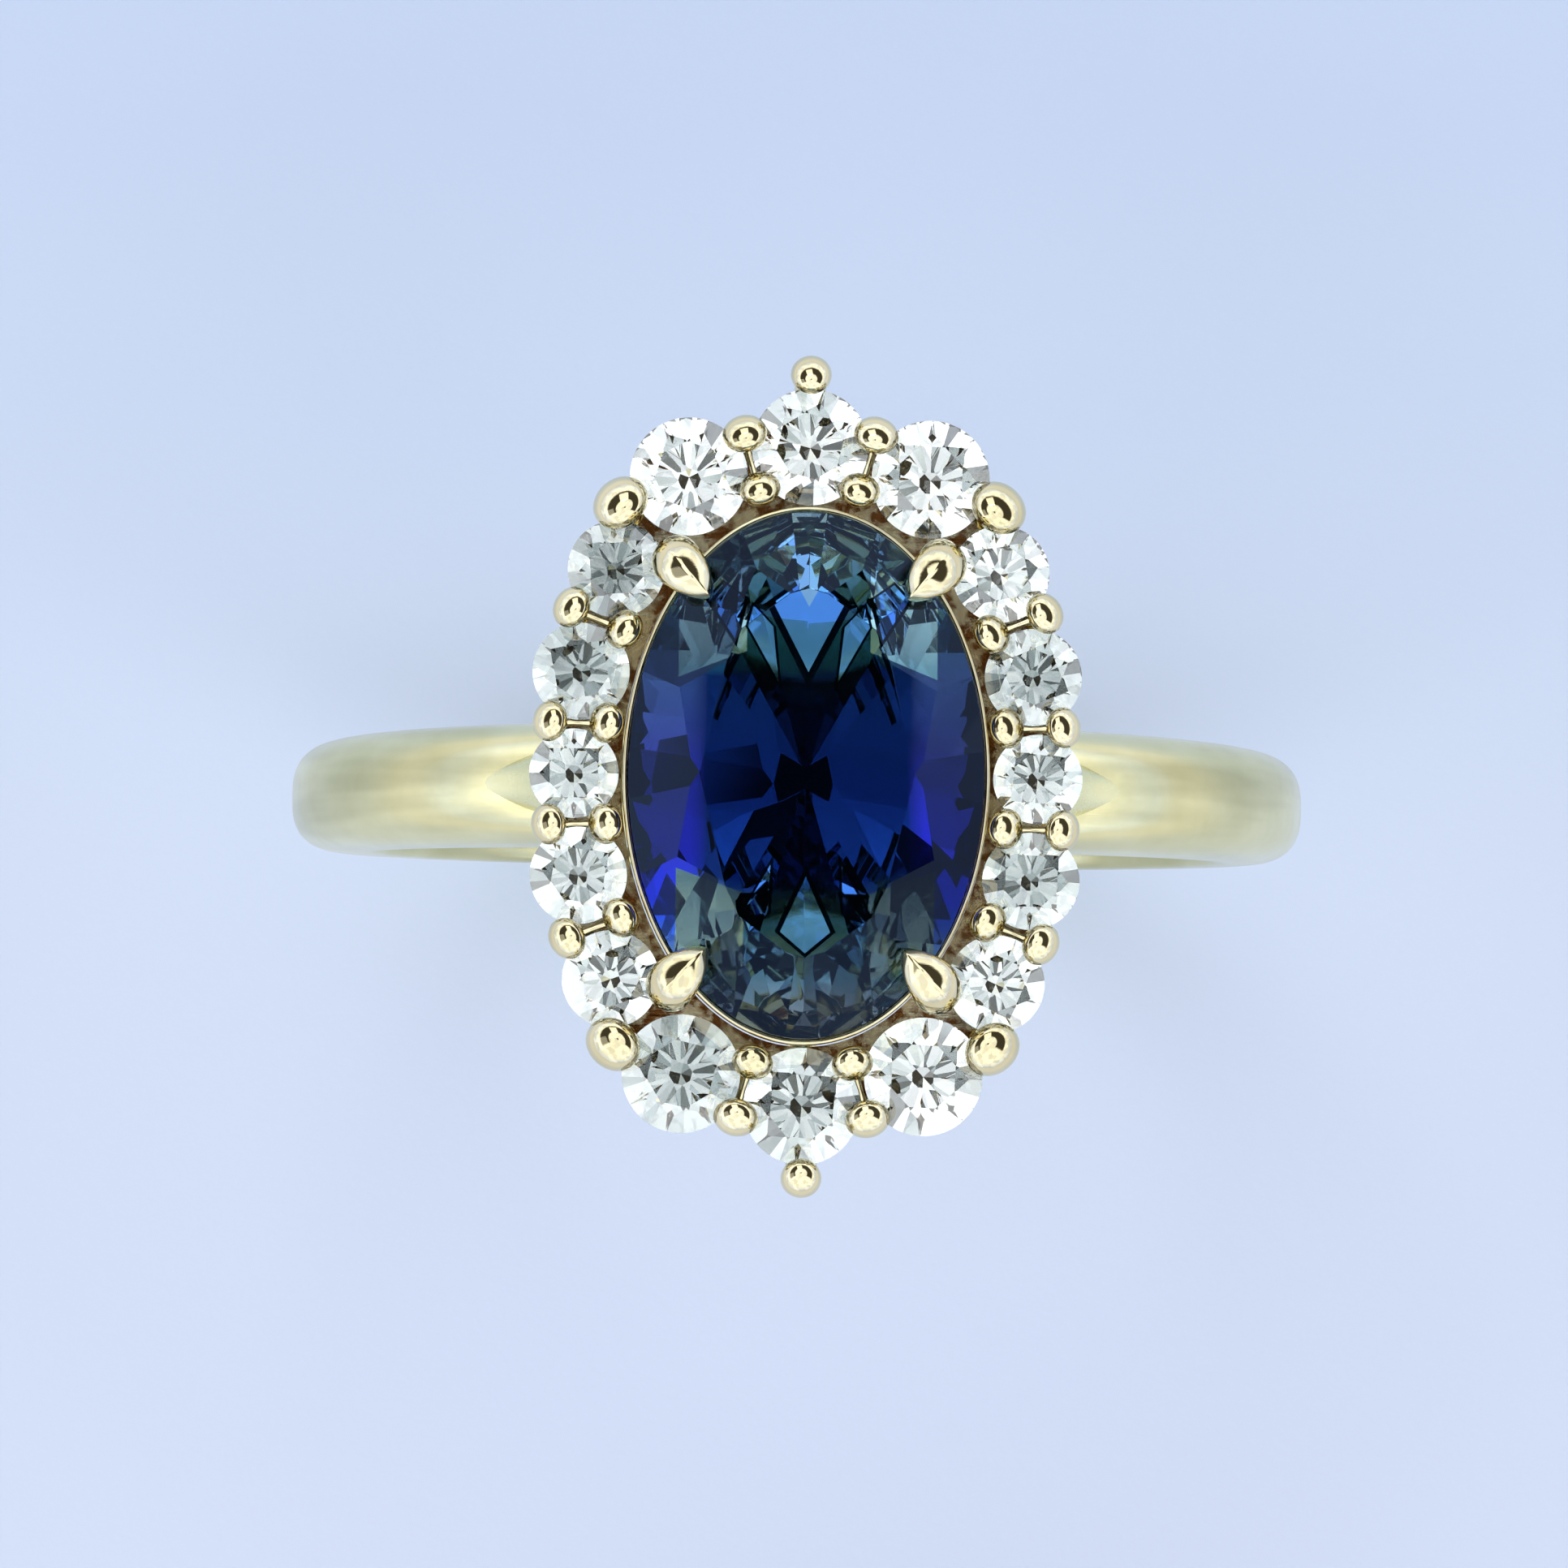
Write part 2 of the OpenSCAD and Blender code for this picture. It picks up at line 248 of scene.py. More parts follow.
def sapphire_material(half_width, half_length):
    """Blue sapphire: inky at heart, violet-blue along its sides, grey teal towards its two ends; painted
    reflections as bright blue kites with dark outlines, and painted light and shade that differs from facet
    to facet.
    """
    material, n, shader = new_material("sapphire")
    place = n.place()
    wobble = n.math("MULTIPLY_ADD", n.noise(place, 450.0, 3.0), 0.12, -0.06)
    x, y, _ = n.split(place)
    across = n.math("ABSOLUTE", n.math("DIVIDE", x, half_width))
    v = n.math("DIVIDE", y, half_length)
    along = n.math("MULTIPLY_ADD", v, 0.5, 0.5)
    heart = n.ramp(n.math("ADD", along, wobble),
                   (0.0, stain(150, 150, 130)), (0.12, stain(92, 124, 120)), (0.2, stain(46, 88, 112)),
                   (0.3, stain(10, 38, 100)), (0.45, stain(7, 27, 80)), (0.68, stain(7, 29, 68)),
                   (0.78, stain(30, 84, 104)), (0.88, stain(80, 122, 122)), (1.0, stain(108, 126, 120)))
    flank = n.ramp(n.math("ADD", across, wobble), (0.56, BLACK), (0.66, WHITE))
    waist = n.ramp(along, (0.14, BLACK), (0.26, WHITE), (0.7, WHITE), (0.82, BLACK))
    violet = n.ramp(along, (0.2, stain(16, 38, 180)), (0.36, stain(30, 34, 150)), (0.55, stain(34, 42, 104)),
                    (0.75, stain(42, 66, 102)))
    colour = n.mix(n.math("MULTIPLY", flank, waist), heart, violet)

    def near(value, centre, reach):
        """1 where a value is within reach of a centre, 0 elsewhere."""
        return n.math("LESS_THAN", n.math("ABSOLUTE", n.math("SUBTRACT", value, centre)), reach)

    slant = n.math("MULTIPLY", n.math("SUBTRACT", across, 0.53), 0.25)
    slant = n.math("ADD", n.math("ABSOLUTE", v), slant)
    inset = n.math("MULTIPLY", near(across, 0.535, 0.19), near(slant, 0.573, 0.163))
    teal = n.ramp(along, (0.1, stain(118, 138, 118)), (0.3, stain(66, 90, 88)),
                  (0.7, stain(104, 150, 156)), (0.9, stain(180, 220, 216)))
    colour = n.mix(inset, colour, teal)

    def painted_kite(centre_u, centre_v, wide, tall, lean):
        """1 inside a narrow kite, 0 outside; the second value is the same for a slightly larger kite."""
        du = n.math("SUBTRACT", across, centre_u)
        dv = n.math("SUBTRACT", v, centre_v)
        du = n.math("SUBTRACT", du, n.math("MULTIPLY", dv, lean))
        up = n.math("MAXIMUM", n.math("DIVIDE", dv, tall), n.math("DIVIDE", dv, -2.6 * tall))
        far = n.math("ADD", n.math("DIVIDE", n.math("ABSOLUTE", du), wide), up)
        return n.math("LESS_THAN", far, 1.0), n.math("LESS_THAN", far, 1.22)

    # Painted reflections: bright blue kites, each ringed by a painted dark outline.
    bright = stain(100, 168, 245)
    painted_outline_dark = stain(2, 10, 24)
    north_painted_kites = [(0.0, 0.64, 0.2, 0.1, 0.0), (0.27, 0.55, 0.07, 0.08, 0.5), (0.46, 0.66, 0.1, 0.06, 0.3)]
    south_painted_kites = [(0.0, -0.6, 0.14, -0.08, 0.0), (0.28, -0.53, 0.07, -0.07, -0.45)]
    for spot in north_painted_kites + south_painted_kites:
        inside, line = painted_kite(*spot)
        colour = n.mix(line, colour, painted_outline_dark)
        colour = n.mix(inside, colour, bright)
    # A larger painted reflection in paler blue towards the north end.
    colour = n.mix(painted_kite(0.0, 0.86, 0.19, 0.09, 0.0)[0], colour, (0.11, 0.38, 0.66, 1))
    # Painted light and shade: each facet's colour is scaled by its own level, from dark to twice as bright.
    painted_light_tone = n.ramp(n.painted_facet_light(8.0), (0.38, (0.12, 0.12, 0.14, 1)), (0.5, (0.9, 0.9, 0.9, 1)),
                  (0.62, (2.0, 2.0, 1.9, 1)))
    colour = n.mix(1.0, colour, painted_light_tone, "MULTIPLY")
    inner_side = n.add("ShaderNodeNewGeometry").outputs["Backfacing"]
    colour = n.mix(inner_side, colour, (0.86, 0.92, 1.0, 1))
    n.join(colour, shader.inputs["Base Color"])
    shader.inputs["Transmission Weight"].default_value = 1.0
    shader.inputs["Roughness"].default_value = 0.012
    shader.inputs["IOR"].default_value = 1.77
    shader.inputs["Specular Tint"].default_value = (0.07, 0.14, 0.3, 1)
    volume = n.add("ShaderNodeVolumeAbsorption")
    volume.inputs["Color"].default_value = (0.45, 0.6, 0.9, 1)
    volume.inputs["Density"].default_value = 60.0
    n.join(volume.outputs["Volume"], material.node_tree.nodes["Material Output"].inputs["Volume"])
    return material


GOLD = gold_material("gold_polished", srgb(224, 212, 172), srgb(238, 228, 192), 0.045, 0.06)
# The band's gold is rougher and carries the darkest painted reflection streaks.
GOLD_BAND = gold_material("gold_band", srgb(230, 223, 170), srgb(242, 235, 186), 0.18, 0.15, reflection_streak_level=0.74)
# Painted light: the arms get a lighter, paler copy of the band's gold, so they look brighter where they
# reflect a dim part of the tent.
GOLD_ARM_PAINTED_LIGHT = gold_material("gold_arm_painted_light", srgb(250, 243, 186), srgb(255, 252, 204), 0.26, 0.15, reflection_streak_level=0.9)
# Painted shade and glints for the recess between the stones: a darker, browner gold, dappled in small crisp
# patches of painted glints.
GOLD_RECESS_PAINTED_SHADE = gold_material("gold_recess_painted_shade", srgb(150, 100, 54), srgb(255, 242, 204), 0.07, 1.0,
                            depth=0.2 * MM, patches=3200.0, spread=0.07)
DIAMOND = diamond_material()
SAPPHIRE = sapphire_material(size("centre_stone").x / 2, size("centre_stone").y / 2)


# ---------------------------------------------------------------- mesh helpers

def add_piece(name, bm, material, nodes=(), smooth=True):
    """Turns a bmesh into a shown piece that stands for the named CAD nodes."""
    bmesh.ops.recalc_face_normals(bm, faces=bm.faces)
    mesh = bpy.data.meshes.new(name)
    bm.to_mesh(mesh)
    bm.free()
    mesh.shade_smooth() if smooth else mesh.shade_flat()
    mesh.materials.append(material)
    piece = bpy.data.objects.new(name, mesh)
    scene.collection.objects.link(piece)
    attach(piece, "root")
    if nodes:
        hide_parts(*nodes)
    return piece


def loft(bm, rings, closed=False):
    """Skins a list of equal rings of points; an open loft gets end caps."""
    made = [[bm.verts.new(p) for p in ring] for ring in rings]
    count = len(made[0])
    pairs = list(zip(made, made[1:])) + ([(made[-1], made[0])] if closed else [])
    for one, two in pairs:
        for k in range(count):
            bm.faces.new((one[k], one[(k + 1) % count], two[(k + 1) % count], two[k]))
    if not closed:
        bm.faces.new(made[0])
        bm.faces.new(made[-1])


def add_skin(name, rings, material, node, closed=False):
    """Skins rings of points into one gold piece that stands for a CAD node."""
    bm = bmesh.new()
    loft(bm, rings, closed)
    add_piece(name, bm, material, [node])


def round_ring(centre, across, up, wide, deep, count):
    """Points of an ellipse round a centre, in the plane of two directions."""
    turns = [k * math.tau / count for k in range(count)]
    return [centre + across * wide * math.cos(turn) + up * deep * math.sin(turn) for turn in turns]


def spow(value, power):
    """Power that keeps the sign of the value."""
    return math.copysign(abs(value) ** power, value)


def superellipse(a, b, n, angle):
    return Vector((a * spow(math.cos(angle), 2 / n), b * spow(math.sin(angle), 2 / n)))


def catmull(points, t):
    """Smooth curve through equally spaced points; t runs from 0 to 1."""
    spans = len(points) - 1
    i = min(int(t * spans), spans - 1)
    f = t * spans - i
    p0, p1 = points[max(i - 1, 0)], points[i]
    p2, p3 = points[i + 1], points[min(i + 2, spans)]
    smooth = []
    for a, b, c, d in zip(p0, p1, p2, p3):
        bend, twist = 2 * a - 5 * b + 4 * c - d, 3 * b - a - 3 * c + d
        smooth.append(0.5 * (2 * b + (c - a) * f + bend * f ** 2 + twist * f ** 3))
    return smooth


def bezier(a, c, b, t):
    """Curve from a to b that is drawn towards c; t runs from 0 to 1."""
    return a.lerp(c, t).lerp(c.lerp(b, t), t)


# ------------------------------------------------------------------------ band

def make_band():
    """Low-domed band with rounded corners, narrower towards its base."""
    top_half, base_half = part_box("shank")[1].y, 1.0 * MM
    dome = BAND_R - FINGER_R - BAND_SIDE
    outer_corner, inner_corner = 0.72, 0.3
    steps, sides = 320, 56
    rings = []
    for i in range(steps):
        turn = i * math.tau / steps
        half = base_half + (top_half - base_half) * (math.cos(turn) + 1) / 2
        ring = []
        for k in range(sides):
            across, up = math.cos(k * math.tau / sides), math.sin(k * math.tau / sides)
            if up >= 0:
                y = half * spow(across, outer_corner)
                r = FINGER_R + BAND_SIDE + dome * up ** outer_corner
            else:
                y = half * spow(across, inner_corner)
                r = FINGER_R + BAND_SIDE - BAND_SIDE * abs(up) ** inner_corner
            ring.append(Vector((r * math.sin(turn), y, r * math.cos(turn))))
        rings.append(ring)
    add_skin("band", rings, GOLD_BAND, "shank", closed=True)


def make_shoulder(node, sign):
    """Cathedral arm: it leaves the band along a tangent and runs up to the wire under the halo."""
    low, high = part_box(node)
    turn = math.radians(39.5)
    sink = 0.03 * MM
    foot = Vector((math.sin(turn), math.cos(turn))) * (BAND_R - sink)
    knee = foot + Vector((-math.cos(turn), math.sin(turn))) * 2.0 * MM
    head = Vector((min(abs(low.x), abs(high.x)) + 0.62 * MM, high.z + 0.08 * MM))
    foot_crown, head_crown = BAND_R - FINGER_R - BAND_SIDE - sink, 0.5 * MM
    softness = 0.8
    steps, sides = 48, 40
    rings = []
    for i in range(steps + 1):
        t = i / steps
        before, after = max(t - 0.01, 0.0), min(t + 0.01, 1.0)
        run = (bezier(foot, knee, head, after) - bezier(foot, knee, head, before)).normalized()
        up = Vector((run.y, -run.x))
        ease = min(1.0, t * 1.5) ** 0.7
        crown = foot_crown * (1 - ease) + head_crown * ease
        sole = 0.36 * MM + 0.1 * MM * ease
        width = (0.42 + 0.3 * min(1.0, t * 1.6)) * MM
        centre = bezier(foot, knee, head, t) - up * crown
        ring = []
        for k in range(sides):
            side, rise = math.cos(k * math.tau / sides), math.sin(k * math.tau / sides)
            spot = centre + up * (crown if rise >= 0 else sole) * spow(rise, softness)
            ring.append(Vector((sign * spot.x, width * spow(side, softness), spot.y)))
        rings.append(ring)
    add_skin(node.replace("shoulder", "arm"), rings, GOLD_ARM_PAINTED_LIGHT, node)


# ----------------------------------------------------------------------- wires

def oval_wire(bm, a, b, n, low_z, high_z, width, fullness=3.0, start=0.0, end=math.tau, steps=160):
    """Wire of softened rectangular section bent round an oval centreline, or round a stretch of it."""
    closed = abs(end - start - math.tau) < 1e-6
    sides = 20
    rings = []
    for i in range(steps if closed else steps + 1):
        angle = start + (end - start) * i / steps
        here = superellipse(a, b, n, angle)
        ahead = superellipse(a, b, n, angle + 0.003)
        behind = superellipse(a, b, n, angle - 0.003)
        run = (ahead - behind).normalized()
        out = Vector((run.y, -run.x))
        ring = []
        for k in range(sides):
            p = superellipse(width / 2, (high_z - low_z) / 2, fullness, k * math.tau / sides)
            spot = here + out * p.x
            ring.append(Vector((spot.x, spot.y, (low_z + high_z) / 2 + p.y)))
        rings.append(ring)
    loft(bm, rings, closed=closed)


def make_wire(node, name, n, width):
    low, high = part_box(node)
    bm = bmesh.new()
    oval_wire(bm, high.x - width / 2, high.y - width / 2, n, low.z, high.z, width)
    add_piece(name, bm, GOLD, [node])


def make_rims():
    """Thin bright rim round the centre stone and the ledge under it, in four stretches between the claws."""
    half = size("centre_stone") / 2
    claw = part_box("claw_ne")[1]
    gap = math.atan2(claw.y / half.y, claw.x / half.x)
    low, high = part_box("rim_north")
    wall, ledge = 0.1 * MM, 0.3 * MM
    rim_out, ledge_out, ledge_drop = 0.02 * MM + wall / 2, -0.05 * MM, 0.55 * MM
    spans = {"rim_east": 0, "rim_north": math.pi / 2, "rim_west": math.pi, "rim_south": -math.pi / 2}
    for node, mid in spans.items():
        reach = (gap if node in ("rim_east", "rim_west") else math.pi / 2 - gap) - 0.04
        span = {"fullness": 4.0, "start": mid - reach, "end": mid + reach, "steps": 96}
        bm = bmesh.new()
        for out, top, width in ((rim_out, high.z, wall), (ledge_out, high.z - ledge_drop, ledge)):
            oval_wire(bm, half.x + out, half.y + out, 2.0, low.z, top, width, **span)
        add_piece(node + "_polished", bm, GOLD, [node])


def make_strut(node, sign):
    """Waisted round bar from the lower wire out to one end of the halo."""
    low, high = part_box(node)
    foot = Vector((0, 3.1 * MM * sign, low.z + 0.45 * MM))
    head = Vector((0, sign * (max(abs(low.y), abs(high.y)) + 0.3 * MM), high.z - 0.2 * MM))
    along = (head - foot).normalized()
    across = Vector((1, 0, 0))
    steps, sides = 24, 24
    rings = []
    for i in range(steps + 1):
        t = i / steps
        waist = (0.3 + 0.5 * (t - 0.5) ** 2) * MM
        rings.append(round_ring(foot.lerp(head, t), across, along.cross(across), waist, waist, sides))
    add_skin(node + "_polished", rings, GOLD, node)


def cad_mesh(node, weld):
    """A CAD node's mesh in place, with the points closer than weld joined."""
    bm = bmesh.new()
    bm.from_mesh(frame["nodes"][node].data)
    bm.transform(frame["nodes"][node].matrix_world)
    bmesh.ops.remove_doubles(bm, verts=bm.verts, dist=weld)
    return bm


def make_plate():
    """Scalloped halo plate: the CAD solid with its seats, every edge rounded; plain polished gold outside
    and below, painted shade dappled with painted glints on the faces up in the recess.
    """
    bm = cad_mesh("halo_plate", 0.002 * MM)
    bmesh.ops.dissolve_limit(bm, angle_limit=math.radians(1), verts=bm.verts, edges=bm.edges)
    piece = add_piece("halo_gallery", bm, GOLD_RECESS_PAINTED_SHADE, ["halo_plate"])
    piece.data.materials.append(GOLD)
    # Outer sides and underside take the plain gold; the faces up in the recess keep the gold with painted
    # shade and glints.
    for face in piece.data.polygons:
        outward = Vector((face.center.x, face.center.y * 0.7, 0)).normalized()
        if face.normal.z < -0.5 or (abs(face.normal.z) < 0.3 and face.normal.dot(outward) > 0.2):
            face.material_index = 1
    bevel = piece.modifiers.new("rounded edges", "BEVEL")
    bevel.width = 0.05 * MM
    bevel.segments = 3
    bevel.angle_limit = math.radians(40)
    piece.modifiers.new("even shading", "WEIGHTED_NORMAL")


# ------------------------------------------------------------ beads and claws

def solids(node):
    """The separate solids of a CAD node, each as a list of points."""
    bm = cad_mesh(node, 0.001 * MM)
    seen, groups = set(), []
    for seed in bm.verts:
        if seed in seen:
            continue
        stack, group = [seed], []
        seen.add(seed)
        while stack:
            vertex = stack.pop()
            group.append(vertex.co.copy())
            for edge in vertex.link_edges:
                other = edge.other_vert(vertex)
                if other not in seen:
                    seen.add(other)
                    stack.append(other)
        groups.append(group)
    bm.free()
    return groups


def bead_spots(node):
    """[centre of the bead, its radius, centre of the post's foot] of each prong in a node."""
    spots = []
    for group in solids(node):
        top = max(group, key=lambda p: p.z)
        floor_z = min(p.z for p in group)
        feet = [p for p in group if p.z < floor_z + 0.02 * MM]
        foot = sum(feet, Vector()) / len(feet)
        spots.append((Vector((top.x, top.y, BEAD_Z)), top.z - BEAD_Z, foot))
    return spots


def make_prongs(node, name, drawn=0.16):
    """Wire posts whose tops are burnished into beads, drawn out a little over the two stones beside them."""
    neck = 0.78
    start = -math.acos(neck)
    post_steps, bead_steps, sides = 8, 16, 32
    bm = bmesh.new()
    for centre, radius, foot in bead_spots(node):
        outward = Vector((centre.x, centre.y * 0.8, 0)).normalized()
        beside = Vector((-outward.y, outward.x, 0))
        shoulder = centre + UP * radius * math.sin(start)
        stations = []
        for i in range(post_steps):
            stations.append((foot.lerp(shoulder, i / post_steps), radius * neck, i / post_steps))
        for i in range(bead_steps + 1):
            angle = start + (math.pi / 2 - start) * i / bead_steps
            inward = -0.3 * radius * max(math.sin(angle), 0)
            spot = centre + outward * inward + UP * radius * math.sin(angle)
            stations.append((spot, radius * max(math.cos(angle), 0.03), 1.0))
        rings = [round_ring(spot, beside, outward, r * (1 + drawn * flare), r * (1 - 0.04 * flare), sides)
                 for spot, r, flare in stations]
        loft(bm, rings)
    add_piece(name, bm, GOLD, [node])


def make_bars():
    """Thin gold bars between the stones, from each inner bead to the nearest outer one."""
    outer = [centre for centre, _, _ in bead_spots("outer_prongs") + bead_spots("corner_prongs")]
    drop = 0.36 * MM
    steps, sides = 12, 16
    bm = bmesh.new()
    for centre, _, _ in bead_spots("inner_prongs"):
        far = min(outer, key=lambda spot: (spot - centre).length)
        across = (far - centre).cross(UP).normalized()
        rings = []
        for i in range(steps + 1):
            t = i / steps
            thick = (0.08 + 0.14 * abs(t - 0.5) ** 1.5) * MM
            rings.append(round_ring(centre.lerp(far, t) - UP * drop, across, UP, thick, thick, sides))
        loft(bm, rings)
    add_piece("halo_bars", bm, GOLD)


# Centreline of the north-east claw as shares of its box, then half-width, half-thickness
# (mm) and how sharp its ridge is, from the foot to the tip
CLAW_SHAPE = [
    (0.16, 0.10, 0.065, 0.33, 0.33, 0.0), (0.31, 0.275, 0.194, 0.32, 0.32, 0.0),
    (0.51, 0.537, 0.387, 0.31, 0.31, 0.0), (0.69, 0.755, 0.593, 0.32, 0.31, 0.0),
    (0.755, 0.82, 0.69, 0.39, 0.34, 0.0), (0.785, 0.825, 0.775, 0.465, 0.38, 0.1),
    (0.73, 0.77, 0.850, 0.485, 0.38, 0.35), (0.63, 0.69, 0.890, 0.425, 0.34, 0.7),
    (0.535, 0.62, 0.900, 0.31, 0.28, 0.95), (0.46, 0.565, 0.892, 0.17, 0.2, 1.0),
    (0.425, 0.545, 0.882, 0.07, 0.09, 1.0), (0.41, 0.533, 0.876, 0.012, 0.02, 1.0)]


def make_claw(node, signs):
    """Talon claw: a round post that swells over the girdle and draws out to a ridged point."""
    low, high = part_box(node)
    near = Vector((min(abs(low.x), abs(high.x)), min(abs(low.y), abs(high.y)), low.z))
    far = Vector((max(abs(low.x), abs(high.x)), max(abs(low.y), abs(high.y)), high.z))
    span = far - near
    stations = [[near.x + span.x * x, near.y + span.y * y, near.z + span.z * z, w * MM, h * MM, ridge]
                for x, y, z, w, h, ridge in CLAW_SHAPE]
    across = Vector((0.74, -0.67, 0)).normalized()
    outward = Vector((0.6, 0.8, 1))
    steps, sides = 88, 48
    path = [catmull(stations, i / steps) for i in range(steps + 1)]
    rings = []
    for i, (x, y, z, w, h, ridge) in enumerate(path):
        before, after = path[max(i - 1, 0)], path[min(i + 1, steps)]
        run = (Vector(after[:3]) - Vector(before[:3])).normalized()
        up = across.cross(run).normalized()
        if up.dot(outward) < 0:
            up = -up
        ring = []
        for k in range(sides):
            side, rise = math.cos(k * math.tau / sides), math.sin(k * math.tau / sides)
            if rise > 0:
                roof = (1 - abs(side)) ** 0.85
                rise += ridge * 0.75 * (roof - rise)
            spot = Vector((x, y, z)) + across * w * side + up * h * rise
            ring.append(Vector((spot.x * signs[0], spot.y * signs[1], spot.z)))
        rings.append(ring)
    add_skin(node + "_talon", rings, GOLD, node)


# ------------------------------------------------------------------------ gems

def slice_off(bm, point, normal):
    """Cuts away what lies beyond a plane and closes the cut with one flat facet."""
    cut = bmesh.ops.bisect_plane(bm, geom=bm.verts[:] + bm.edges[:] + bm.faces[:], dist=1e-9,
                                 plane_co=point, plane_no=normal, clear_outer=True)
    rim = [e for e in cut["geom_cut"] if isinstance(e, bmesh.types.BMEdge)]
    if rim:
        bmesh.ops.contextual_create(bm, geom=rim)


def facet_plane(point, line, through):
    """Normal of the plane that holds a line at a point and one more point, facing outwards."""
    normal = line.cross(through - point).normalized()
    return normal if normal.dot(Vector((point.x, point.y, 0))) > 0 else -normal


def cut_gem(a, b, table_a, table_b, crown, girdle, pavilion, segments, keel):
    """Brilliant cut as flat facets sliced from a rough cylinder; z is 0 at the girdle's lower edge."""
    top = girdle + crown
    star_drop = crown * 0.42
    deep_width, deep_z = 0.24, -pavilion * 0.79
    turns = [k * math.tau / segments for k in range(segments)]
    bm = bmesh.new()
    loft(bm, [[Vector((a * math.cos(turn), b * math.sin(turn), z)) for turn in turns]
              for z in (-pavilion * 1.05, top)])

    def rim(angle, z):
        return Vector((a * math.cos(angle), b * math.sin(angle), z))

    def girdle_facet(angle, z, through):
        """Cuts the facet that touches the girdle at an angle and passes through one more point."""
        tangent = Vector((-a * math.sin(angle), b * math.cos(angle), 0))
        slice_off(bm, rim(angle, z), facet_plane(rim(angle, z), tangent, through))

    eighth = math.tau / 8
    table = [Vector((table_a * math.cos(i * eighth), table_b * math.sin(i * eighth), top)) for i in range(8)]
    for i in range(8):
        girdle_facet(i * eighth, girdle, table[i])
    for i in range(8):
        one, two = table[i], table[(i + 1) % 8]
        star = ((one + two) / 2).lerp(rim((i + 0.5) * eighth, 0), 0.5)
        star.z = top - star_drop
        slice_off(bm, one, facet_plane(one, two - one, star))
        for quarter in (0.25, 0.75):
            girdle_facet((i + quarter) * eighth, girdle, star)
    for i in range(8):
        girdle_facet(i * eighth, 0, Vector((0, keel * math.sin(i * eighth), -pavilion)))
    for i in range(8):
        half = (i + 0.5) * eighth
        deep = Vector((a * deep_width * math.cos(half), b * deep_width * math.sin(half), deep_z))
        for quarter in (0.25, 0.75):
            girdle_facet((i + quarter) * eighth, 0, deep)
    return bm


def make_centre_stone():
    """Oval sapphire with a short keel under it and lightly polished edges between its facets."""
    low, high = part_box("centre_stone")
    half = (high - low) / 2
    girdle, crown, crown_run, keel = 0.18 * MM, 1.0 * MM, 1.35 * MM, 0.3 * MM
    pavilion = high.z - low.z - girdle - crown
    bm = cut_gem(half.x, half.y, half.x - crown_run, half.y - crown_run, crown, girdle, pavilion, 192, keel)
    bm.transform(Matrix.Translation((0, 0, low.z + pavilion)))
    piece = add_piece("sapphire_oval", bm, SAPPHIRE, ["centre_stone"], smooth=False)
    bevel = piece.modifiers.new("polished facet edges", "BEVEL")
    bevel.width = 0.03 * MM
    bevel.segments = 1
    bevel.angle_limit = math.radians(12)


def make_halo_stones():
    """Round brilliants, each turned and tipped a little in its own way."""
    for node in HALO_STONES:
        centre = middle(node)
        width = size(node).x
        r = width / 2
        table = r * rng.uniform(0.56, 0.6)
        bm = cut_gem(r, r, table, r * 0.58, width * 0.148, width * 0.025, width * PAVILION, 64, 0)
        turn = Matrix.Rotation(rng.uniform(0, math.tau), 4, "Z")
        axis = Vector((rng.uniform(-1, 1), rng.uniform(-1, 1), 0)).normalized()
        tip = Matrix.Rotation(math.radians(rng.uniform(0.3, 1.6)), 4, axis)
        bm.transform(Matrix.Translation((centre.x, centre.y, HALO_Z)) @ tip @ turn)
        add_piece(node.replace("halo_stone", "diamond"), bm, DIAMOND, [node], smooth=False)


make_band()
make_shoulder("shoulder_right", 1)
make_shoulder("shoulder_left", -1)
make_wire("base_rail", "base_wire", 2.0, 0.6 * MM)
make_wire("gallery_rail", "gallery_wire", 2.0, 0.6 * MM)
make_wire("halo_rail", "halo_wire", 2.4, 0.7 * MM)
make_rims()
make_strut("strut_north", 1)
make_strut("strut_south", -1)
make_plate()
make_prongs("tip_prongs", "tip_beads", 0.03)
make_prongs("corner_prongs", "corner_beads")
make_prongs("outer_prongs", "outer_beads")
make_prongs("inner_prongs", "inner_beads")
make_bars()
for claw, signs in CLAWS.items():
    make_claw(claw, signs)
make_centre_stone()
make_halo_stones()


# ------------------------------------------------------- floor, light, camera

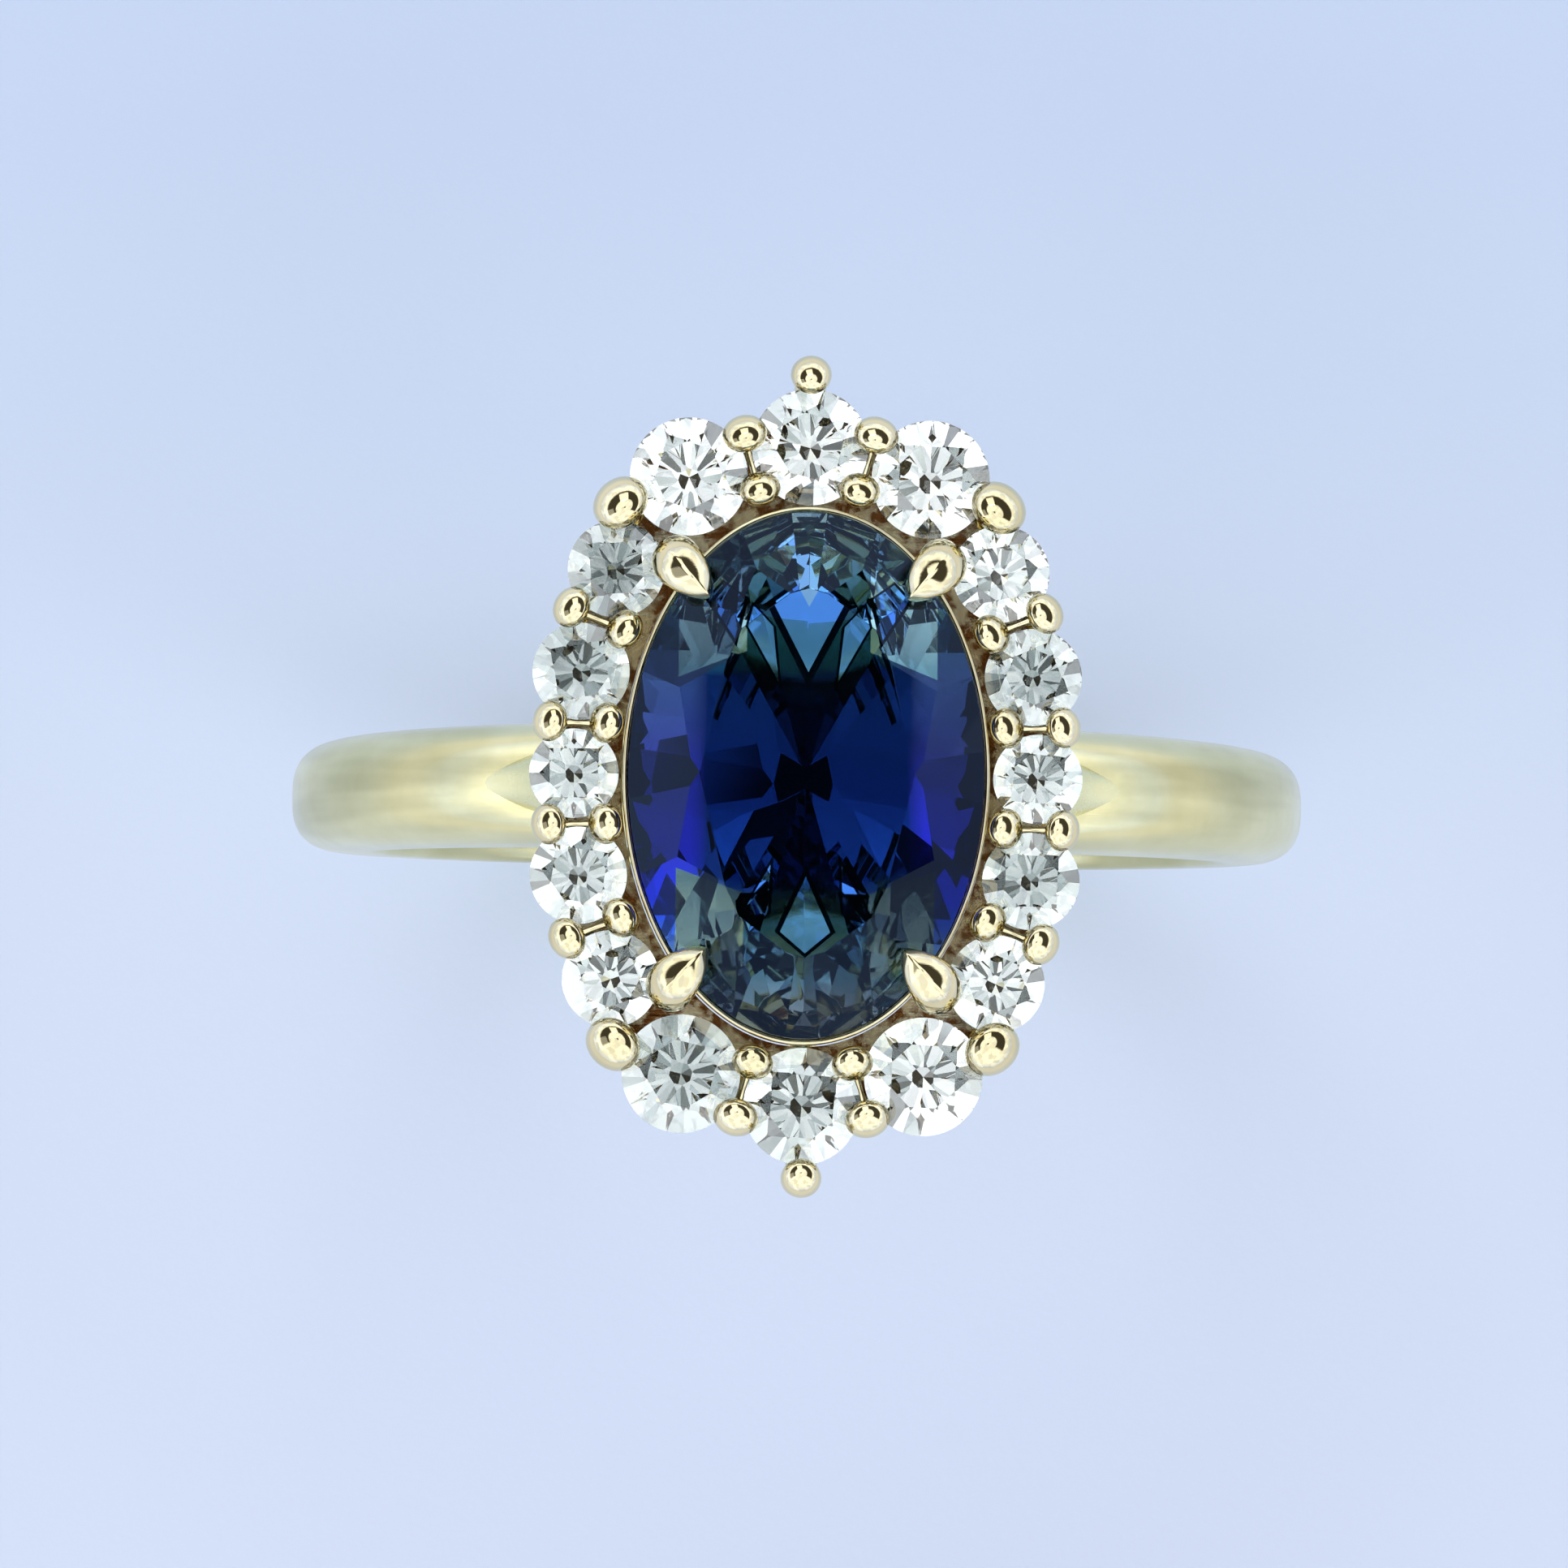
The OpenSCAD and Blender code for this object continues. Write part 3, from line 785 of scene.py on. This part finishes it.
def make_floor():
    """Pale blue paper that the band stands on, with painted light: a little lighter towards -Y, a painted
    pool of light under the ring, painted dimming beyond it and a painted brightening to nearly white far
    from it.
    """
    material, n, shader = new_material("paper")
    place = n.place()
    # Painted light: the paper gets a little lighter towards -Y.
    painted_light_drift = n.add("ShaderNodeMapRange")
    n.join(n.split(place)["Y"], painted_light_drift.inputs["Value"])
    painted_light_drift.inputs["From Min"].default_value = -18 * MM
    painted_light_drift.inputs["From Max"].default_value = 18 * MM
    painted_light_tone = n.ramp(painted_light_drift.outputs["Result"], (0.0, srgb(219, 228, 249)), (0.5, srgb(214, 225, 245)),
                  (1.0, srgb(207, 222, 248)))
    away = n.add("ShaderNodeVectorMath", operation="LENGTH")
    n.join(place, away.inputs[0])
    away = away.outputs["Value"]
    # Painted pool of light: brighter and bluer within 5 mm of the centre, a little dimmer beyond 20 mm.
    painted_light_pool = n.ramp(n.step(away, 5 * MM, 20 * MM),
                  (0.0, (1.03, 1.05, 1.09, 1)), (1.0, (0.935, 0.945, 0.965, 1)))
    painted_light_tone = n.mix(1.0, painted_light_tone, painted_light_pool, "MULTIPLY")
    # Painted brightening: the paper fades to nearly white from 26 mm to 90 mm away.
    painted_light_tone = n.mix(n.step(away, 26 * MM, 90 * MM), painted_light_tone, srgb(240, 242, 248))
    n.join(painted_light_tone, shader.inputs["Base Color"])
    n.bump(shader, n.noise(place, 5200.0, 4.0), 0.25, 0.04 * MM)
    shader.inputs["Roughness"].default_value = 0.95
    bm = bmesh.new()
    bmesh.ops.create_circle(bm, cap_ends=True, radius=1.5, segments=96)
    mesh = bpy.data.meshes.new("paper")
    bm.to_mesh(mesh)
    bm.free()
    mesh.materials.append(material)
    floor = bpy.data.objects.new("paper", mesh)
    floor.location.z = cad_low.z
    scene.collection.objects.link(floor)


def make_world():
    """White light tent of uneven cloth panels, with a dark arch and a small dark opening straight above."""
    world = bpy.data.worlds.new("tent")
    world.use_nodes = True
    scene.world = world
    n = Nodes(world.node_tree)
    background = world.node_tree.nodes["Background"]
    way = n.add("ShaderNodeTexCoord").outputs["Generated"]
    _, north, up = n.split(way)
    polar = n.math("ARCCOSINE", up)
    bearing = n.math("DIVIDE", north, n.math("MAXIMUM", n.math("SINE", polar), 0.001))
    band = n.math("MULTIPLY", n.step(polar, 0.56, 0.6), n.math("SUBTRACT", 1.0, n.step(polar, 1.08, 1.16)))
    arch = n.math("MULTIPLY", band, n.step(bearing, -0.55, -0.45))
    opening = n.math("SUBTRACT", 1.0, n.step(polar, 0.085, 0.1))
    panels = n.add("ShaderNodeTexVoronoi", Scale=4.6, Randomness=1.0)
    n.join(way, panels.inputs["Vector"])
    panel = n.split(panels.outputs["Color"])["X"]
    cloth = n.ramp(panel, (0.0, (0.72, 0.74, 0.76, 1)), (0.3, (0.88, 0.89, 0.91, 1)),
                   (0.55, WHITE), (1.0, (1.1, 1.1, 1.08, 1)))
    tent = n.ramp(up, (0.0, (0.62, 0.72, 1.0, 1)), (0.35, WHITE), (1.0, (0.97, 0.98, 1.0, 1)))
    light = n.mix(1.0, tent, cloth, "MULTIPLY")
    light = n.mix(n.math("MAXIMUM", arch, opening), light, (0.04, 0.036, 0.028, 1))
    n.join(light, background.inputs["Color"])
    background.inputs["Strength"].default_value = 1.54


def make_softbox(name, place, aim, side, power, colour):
    """Square lamp turned towards a point."""
    data = bpy.data.lights.new(name, "AREA")
    data.shape = "SQUARE"
    data.size = side
    data.energy = power
    data.color = colour
    lamp = bpy.data.objects.new(name, data)
    lamp.location = place
    lamp.rotation_mode = "QUATERNION"
    lamp.rotation_quaternion = (Vector(aim) - Vector(place)).to_track_quat("-Z", "Y")
    scene.collection.objects.link(lamp)


def make_camera():
    """Looks down on the head from 160 mm above the girdle, a little left of and below its centre."""
    data = bpy.data.cameras.new("camera")
    data.sensor_width = 36
    data.lens = 194
    data.clip_start, data.clip_end = 0.01, 10
    camera = bpy.data.objects.new("camera", data)
    girdle_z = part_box("rim_east")[1].z
    place = Vector((-2.3 * MM, -7.2 * MM, girdle_z + 160 * MM))
    aim = Vector((-0.42 * MM, -0.17 * MM, girdle_z))
    back = (place - aim).normalized()
    right = Vector((0, 1, 0)).cross(back).normalized()
    frame_axes = Matrix((right, back.cross(right), back)).transposed()
    roll = Matrix.Rotation(math.radians(0.75), 3, "Z")
    camera.matrix_world = Matrix.Translation(place) @ (frame_axes @ roll).to_4x4()
    scene.collection.objects.link(camera)
    scene.camera = camera


make_floor()
make_world()
make_softbox("key", (-0.05, 0.22, 0.25), (0, 0, 0), 0.16, 0.12, (1.0, 0.98, 0.95))
make_softbox("fill", (-0.25, -0.1, 0.18), (0, 0, 0), 0.2, 0.05, (0.95, 0.97, 1.0))
make_camera()
scene.view_settings.view_transform = "Standard"
scene.view_settings.exposure = 0.0
scene.cycles.max_bounces = 24
scene.cycles.transmission_bounces = 20
scene.cycles.glossy_bounces = 8
